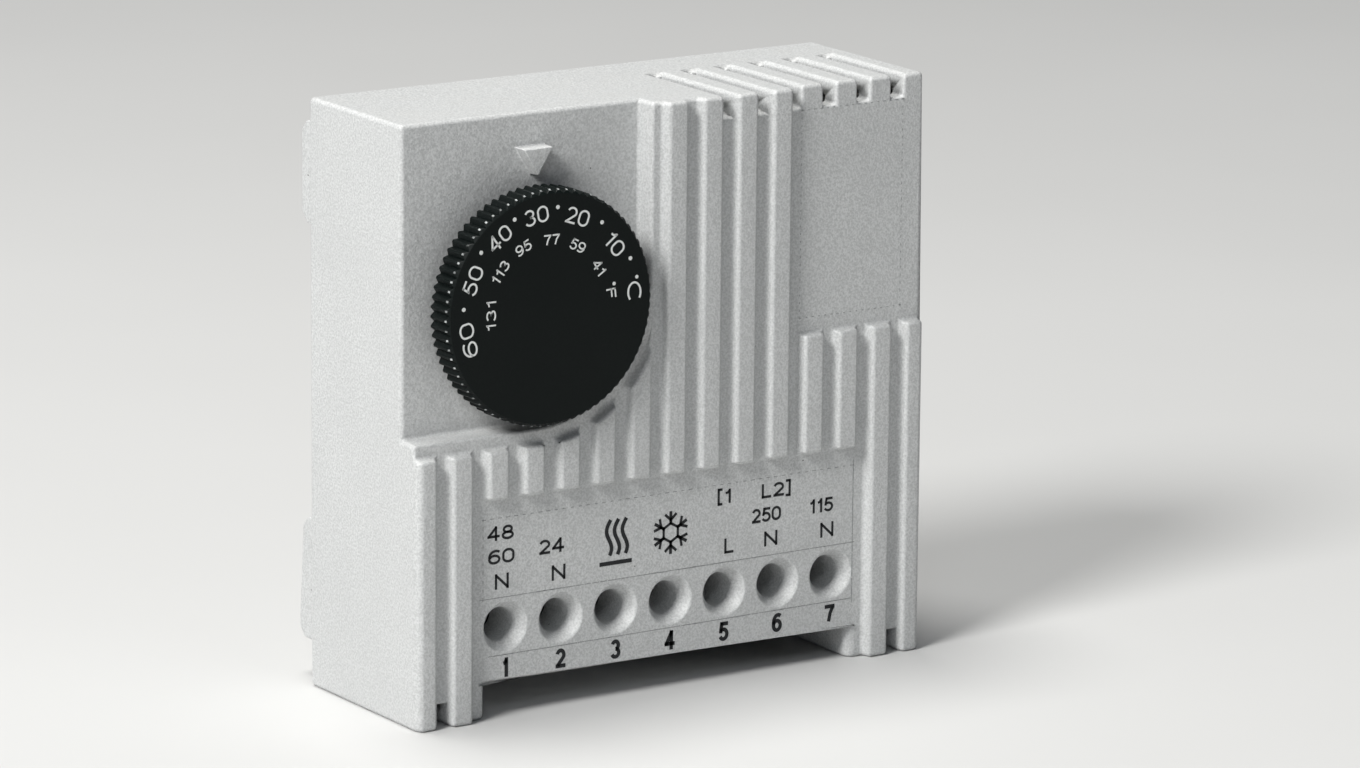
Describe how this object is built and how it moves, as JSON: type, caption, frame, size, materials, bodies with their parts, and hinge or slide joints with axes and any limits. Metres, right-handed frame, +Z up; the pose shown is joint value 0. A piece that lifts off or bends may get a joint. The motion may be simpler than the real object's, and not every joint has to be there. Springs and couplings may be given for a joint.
{
  "type": "din rail thermostat",
  "caption": "Light grey rail-mounted thermostat with a black setting dial, vertical ribs, vent slots in the top and a row of screw terminals.",
  "frame": {"origin": "centre of the bounding box in X and Y, on the plane of the feet", "axes": "+Z up, front with dial and ribs towards -Y, rail behind at +Y, +X to the right as seen from the front"},
  "size_m": [0.071, 0.0322, 0.071],
  "materials": {
    "housing_plastic": "light grey moulded polycarbonate blend, finely textured",
    "knob_plastic": "black moulded plastic, satin",
    "block_plastic": "dark grey moulded polyamide",
    "cam_plastic": "natural acetal",
    "steel": "zinc plated steel",
    "screw_plate": "zinc plated steel",
    "clamp_plate": "yellow passivated steel",
    "brass": "stamped brass",
    "spring_bronze": "rolled spring bronze",
    "bimetal": "rolled bimetal",
    "contact_silver": "silver contact rivet",
    "magnet": "pressed ferrite",
    "board": "glass fibre laminate with green mask",
    "resistor": "coated resistor bodies"
  },
  "bodies": {
    "housing": {"front_cover": "housing_plastic", "rear_base": "housing_plastic", "cover_screws": "steel", "latch_spring": "steel", "spindle_bush": "brass", "lever_pin": "steel", "blade_bracket": "brass", "heating_contact": "brass", "cooling_contact": "brass", "snap_magnet": "magnet", "circuit_board": "board", "board_screws": "steel", "feedback_resistors": "resistor", "terminal_block": "block_plastic", "terminal_bars": "brass"},
    "dial": {"dial_knob": "knob_plastic", "dial_spindle": "steel", "retaining_ring": "steel", "setting_cam": "cam_plastic"},
    "setting": {"setting_lever": "steel", "bimetal_strip": "bimetal", "bimetal_rivets": "steel", "calibration_screw": "brass"},
    "switch_arm": {"contact_blade": "spring_bronze", "moving_contact": "contact_silver"},
    "latch": {"rail_latch": "housing_plastic"},
    "screw_1": {"terminal_screw_1": "screw_plate"},
    "clamp_1": {"terminal_clamp_1": "clamp_plate"},
    "screw_2": {"terminal_screw_2": "screw_plate"},
    "clamp_2": {"terminal_clamp_2": "clamp_plate"},
    "screw_3": {"terminal_screw_3": "screw_plate"},
    "clamp_3": {"terminal_clamp_3": "clamp_plate"},
    "screw_4": {"terminal_screw_4": "screw_plate"},
    "clamp_4": {"terminal_clamp_4": "clamp_plate"},
    "screw_5": {"terminal_screw_5": "screw_plate"},
    "clamp_5": {"terminal_clamp_5": "clamp_plate"},
    "screw_6": {"terminal_screw_6": "screw_plate"},
    "clamp_6": {"terminal_clamp_6": "clamp_plate"},
    "screw_7": {"terminal_screw_7": "screw_plate"},
    "clamp_7": {"terminal_clamp_7": "clamp_plate"}
  },
  "joints": [
    {"name": "dial_turn", "type": "hinge", "parent": "housing", "child": "dial", "pos_m": [-0.0186, -0.012, 0.0488], "axis": [0, 1, 0], "range_deg": [-64, 100]},
    {"name": "setting_tilt", "type": "hinge", "parent": "housing", "child": "setting", "pos_m": [-0.0099, -0.004, 0.0608], "axis": [0, 1, 0], "range_deg": [-2.1, 1.4]},
    {"name": "contact_snap", "type": "hinge", "parent": "housing", "child": "switch_arm", "pos_m": [0.0019, -0.004, 0.0568], "axis": [0, 1, 0], "range_deg": [-1, 1]},
    {"name": "latch_slide", "type": "slide", "parent": "housing", "child": "latch", "axis": [0, 0, -1], "range_m": [0, 0.0022], "stiffness_N_per_m": 1500, "springref_m": -0.002, "deforming": ["latch_spring"]},
    {"name": "screw_turn_1", "type": "hinge", "parent": "housing", "child": "screw_1", "pos_m": [-0.02295, -0.002, 0.01085], "axis": [0, 1, 0], "range_deg": [0, 2305]},
    {"name": "clamp_slide_1", "type": "slide", "parent": "housing", "child": "clamp_1", "axis": [0, -1, 0], "range_m": [0, 0.0032]},
    {"name": "screw_turn_2", "type": "hinge", "parent": "housing", "child": "screw_2", "pos_m": [-0.0153, -0.002, 0.01085], "axis": [0, 1, 0], "range_deg": [0, 2305]},
    {"name": "clamp_slide_2", "type": "slide", "parent": "housing", "child": "clamp_2", "axis": [0, -1, 0], "range_m": [0, 0.0032]},
    {"name": "screw_turn_3", "type": "hinge", "parent": "housing", "child": "screw_3", "pos_m": [-0.00765, -0.002, 0.01085], "axis": [0, 1, 0], "range_deg": [0, 2305]},
    {"name": "clamp_slide_3", "type": "slide", "parent": "housing", "child": "clamp_3", "axis": [0, -1, 0], "range_m": [0, 0.0032]},
    {"name": "screw_turn_4", "type": "hinge", "parent": "housing", "child": "screw_4", "pos_m": [0, -0.002, 0.01085], "axis": [0, 1, 0], "range_deg": [0, 2305]},
    {"name": "clamp_slide_4", "type": "slide", "parent": "housing", "child": "clamp_4", "axis": [0, -1, 0], "range_m": [0, 0.0032]},
    {"name": "screw_turn_5", "type": "hinge", "parent": "housing", "child": "screw_5", "pos_m": [0.00765, -0.002, 0.01085], "axis": [0, 1, 0], "range_deg": [0, 2305]},
    {"name": "clamp_slide_5", "type": "slide", "parent": "housing", "child": "clamp_5", "axis": [0, -1, 0], "range_m": [0, 0.0032]},
    {"name": "screw_turn_6", "type": "hinge", "parent": "housing", "child": "screw_6", "pos_m": [0.0153, -0.002, 0.01085], "axis": [0, 1, 0], "range_deg": [0, 2305]},
    {"name": "clamp_slide_6", "type": "slide", "parent": "housing", "child": "clamp_6", "axis": [0, -1, 0], "range_m": [0, 0.0032]},
    {"name": "screw_turn_7", "type": "hinge", "parent": "housing", "child": "screw_7", "pos_m": [0.02295, -0.002, 0.01085], "axis": [0, 1, 0], "range_deg": [0, 2305]},
    {"name": "clamp_slide_7", "type": "slide", "parent": "housing", "child": "clamp_7", "axis": [0, -1, 0], "range_m": [0, 0.0032]}
  ],
  "couplings": [
    {"joint": "setting_tilt", "follows": "dial_turn", "ratio": -0.02038},
    {"joint": "screw_turn_1", "follows": "clamp_slide_1", "rad_per_m": 12566},
    {"joint": "screw_turn_2", "follows": "clamp_slide_2", "rad_per_m": 12566},
    {"joint": "screw_turn_3", "follows": "clamp_slide_3", "rad_per_m": 12566},
    {"joint": "screw_turn_4", "follows": "clamp_slide_4", "rad_per_m": 12566},
    {"joint": "screw_turn_5", "follows": "clamp_slide_5", "rad_per_m": 12566},
    {"joint": "screw_turn_6", "follows": "clamp_slide_6", "rad_per_m": 12566},
    {"joint": "screw_turn_7", "follows": "clamp_slide_7", "rad_per_m": 12566}
  ]
}
